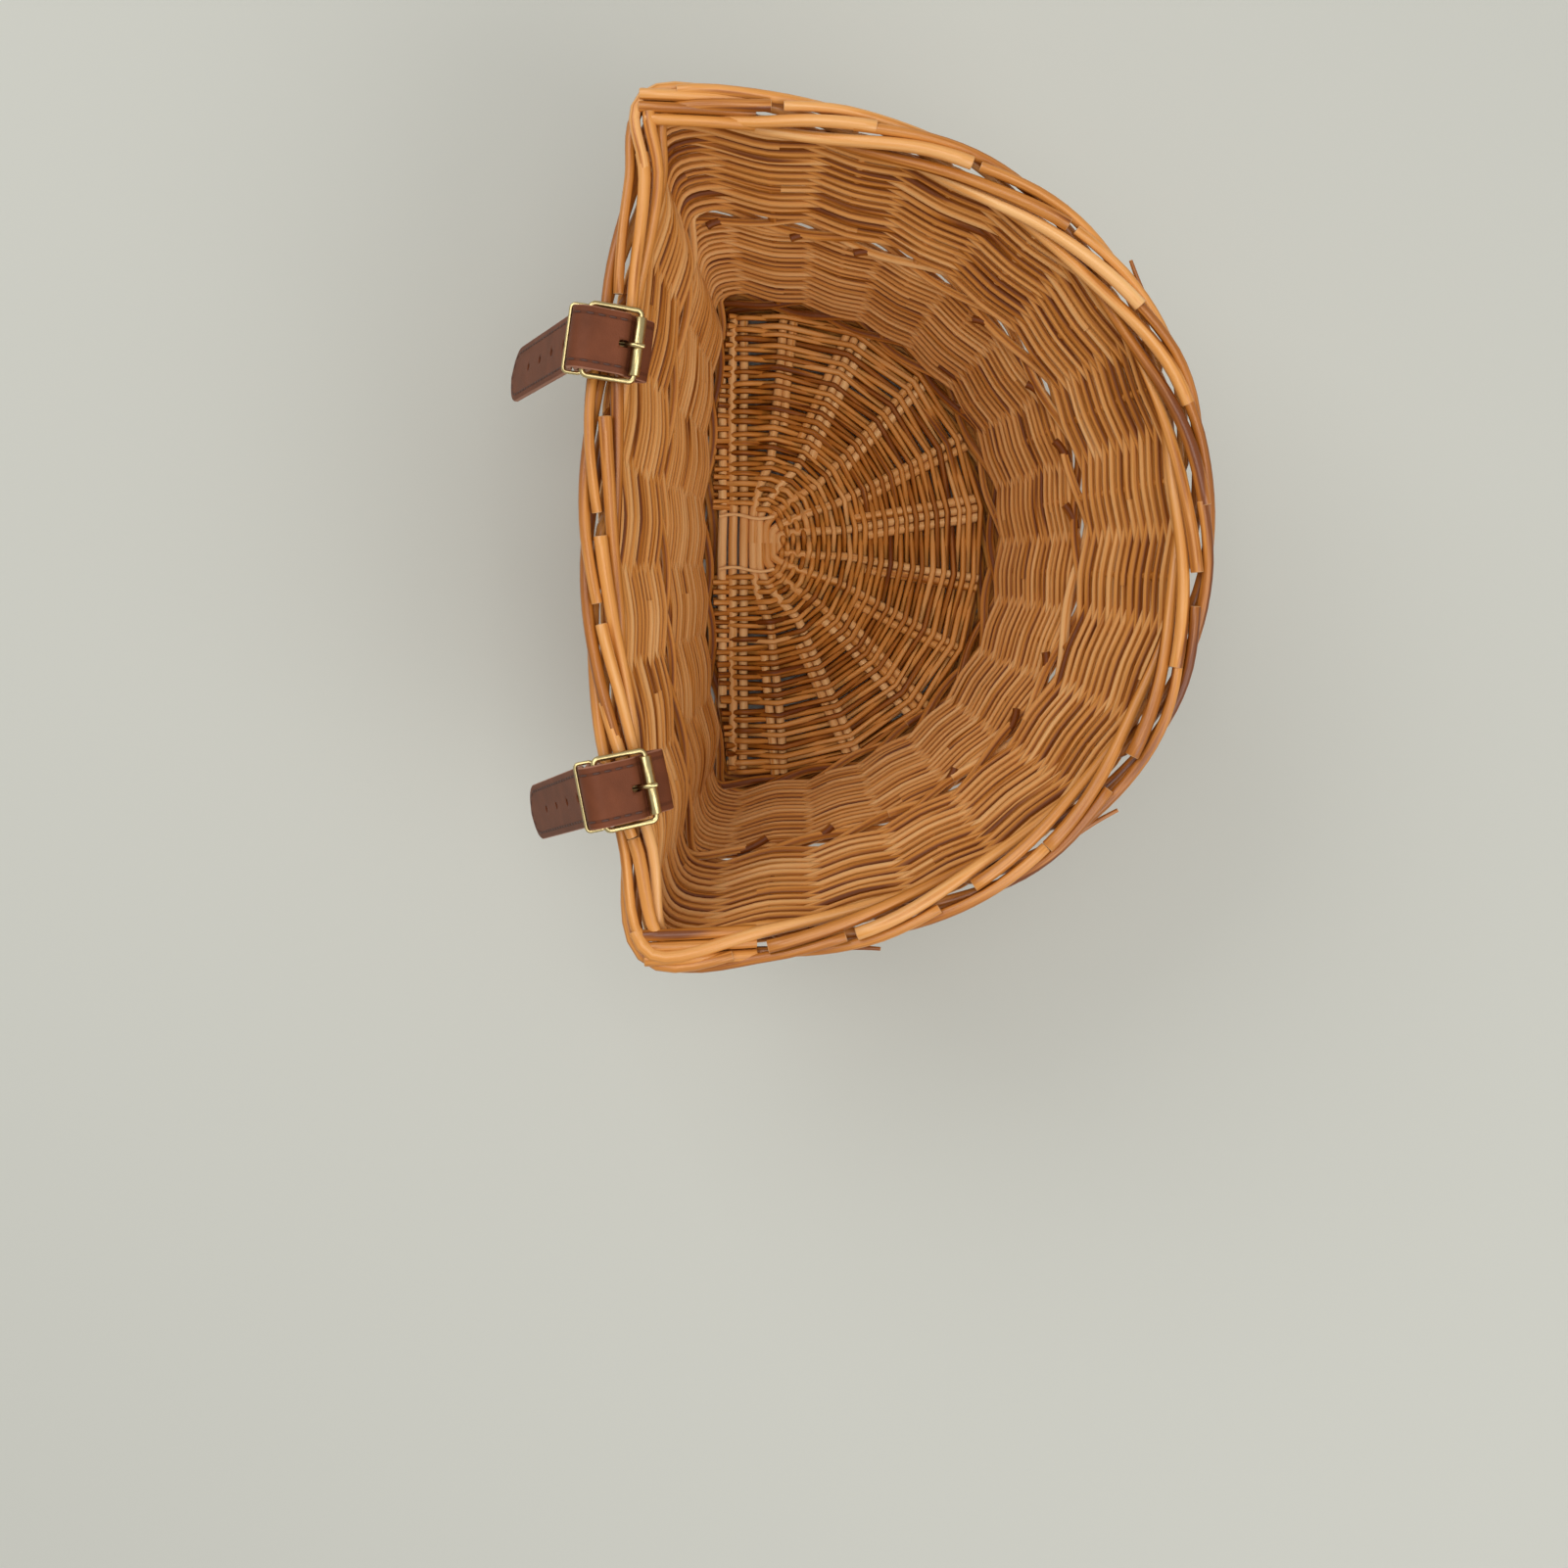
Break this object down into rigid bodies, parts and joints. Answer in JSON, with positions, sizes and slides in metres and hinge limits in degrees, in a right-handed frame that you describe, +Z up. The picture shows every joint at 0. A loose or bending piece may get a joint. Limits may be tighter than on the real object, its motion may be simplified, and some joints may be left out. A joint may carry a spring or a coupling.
{
  "type": "bicycle basket",
  "caption": "D-shaped woven willow basket with a rolled border and a flat back, hung on a handlebar by buckled leather straps.",
  "frame": {"origin": "middle of the basket's plan, straps included, on the surface that it stands on", "axes": "+X along the back from one strap to the other, +Y out of the flat back, +Z up"},
  "size_m": [0.363, 0.2986, 0.2244],
  "materials": {
    "willow_stake": "varnished willow, honey brown",
    "willow_upper": "varnished willow, red brown",
    "willow_lower": "varnished willow, brown",
    "willow_wale": "varnished willow, honey brown",
    "willow_foot": "varnished willow, brown",
    "willow_base": "varnished willow, dark brown",
    "strap_leather": "stitched brown leather",
    "brass": "polished brass"
  },
  "bodies": {
    "basket": {"stake_01": "willow_stake", "stake_02": "willow_stake", "stake_03": "willow_stake", "stake_04": "willow_stake", "stake_05": "willow_stake", "stake_06": "willow_stake", "stake_07": "willow_stake", "stake_08": "willow_stake", "stake_09": "willow_stake", "stake_10": "willow_stake", "stake_11": "willow_stake", "stake_12": "willow_stake", "stake_13": "willow_stake", "stake_14": "willow_stake", "stake_15": "willow_stake", "stake_16": "willow_stake", "stake_17": "willow_stake", "stake_18": "willow_stake", "stake_19": "willow_stake", "stake_20": "willow_stake", "stake_21": "willow_stake", "stake_22": "willow_stake", "stake_23": "willow_stake", "foot_border_1": "willow_foot", "foot_border_2": "willow_foot", "foot_border_3": "willow_foot", "mid_wale_1": "willow_wale", "mid_wale_2": "willow_wale", "mid_wale_3": "willow_wale", "lower_weaver_1": "willow_lower", "lower_weaver_2": "willow_lower", "upper_weaver_1": "willow_upper", "upper_weaver_2": "willow_upper", "base_back_stick_1": "willow_base", "base_back_stick_2": "willow_base", "base_back_stick_3": "willow_base", "base_rib_1": "willow_base", "base_rib_2": "willow_base", "base_rib_3": "willow_base", "base_rib_4": "willow_base", "base_rib_5": "willow_base", "base_rib_6": "willow_base", "base_rib_7": "willow_base", "base_weaver": "willow_base", "strap_loop_1": "strap_leather", "strap_loop_2": "strap_leather"},
    "tail_1": {"strap_tail_1": "strap_leather"},
    "buckle_1": {"buckle_frame_1": "brass"},
    "roller_1": {"buckle_roller_1": "brass"},
    "prong_1": {"buckle_prong_1": "brass"},
    "keeper_1": {"strap_keeper_1": "brass"},
    "tail_2": {"strap_tail_2": "strap_leather"},
    "buckle_2": {"buckle_frame_2": "brass"},
    "roller_2": {"buckle_roller_2": "brass"},
    "prong_2": {"buckle_prong_2": "brass"},
    "keeper_2": {"strap_keeper_2": "brass"}
  },
  "joints": [
    {"name": "tail_1_flex", "type": "hinge", "parent": "basket", "child": "tail_1", "pos_m": [0.07626, 0.11216, 0.2065], "axis": [0.9908, -0.1356, 0], "range_deg": [-20, 70], "stiffness_Nm_per_rad": 0.03, "springref_deg": 1.72},
    {"name": "buckle_1_tilt", "type": "hinge", "parent": "basket", "child": "buckle_1", "pos_m": [0.07549, 0.10651, 0.2175], "axis": [-0.9908, 0.1356, 0], "range_deg": [0, 6]},
    {"name": "roller_1_spin", "type": "hinge", "parent": "buckle_1", "child": "roller_1", "pos_m": [0.07269, 0.08608, 0.21351], "axis": [0.9908, -0.1356, 0], "continuous": true},
    {"name": "prong_1_lift", "type": "hinge", "parent": "buckle_1", "child": "prong_1", "pos_m": [0.07549, 0.10651, 0.2175], "axis": [-0.9908, 0.1356, 0], "range_deg": [0, 6]},
    {"name": "keeper_1_slide", "type": "slide", "parent": "basket", "child": "keeper_1", "axis": [0, 0, 1], "range_m": [-0.00075, 0.0004]},
    {"name": "tail_2_flex", "type": "hinge", "parent": "basket", "child": "tail_2", "pos_m": [-0.10905, 0.10666, 0.2065], "axis": [0.9813, 0.1927, 0], "range_deg": [-20, 70], "stiffness_Nm_per_rad": 0.03, "springref_deg": 1.72},
    {"name": "buckle_2_tilt", "type": "hinge", "parent": "basket", "child": "buckle_2", "pos_m": [-0.10795, 0.10107, 0.2175], "axis": [-0.9813, -0.1927, 0], "range_deg": [0, 6]},
    {"name": "roller_2_spin", "type": "hinge", "parent": "buckle_2", "child": "roller_2", "pos_m": [-0.10397, 0.08084, 0.21351], "axis": [0.9813, 0.1927, 0], "continuous": true},
    {"name": "prong_2_lift", "type": "hinge", "parent": "buckle_2", "child": "prong_2", "pos_m": [-0.10795, 0.10107, 0.2175], "axis": [-0.9813, -0.1927, 0], "range_deg": [0, 6]},
    {"name": "keeper_2_slide", "type": "slide", "parent": "basket", "child": "keeper_2", "axis": [0, 0, 1], "range_m": [-0.00075, 0.0004]}
  ]
}
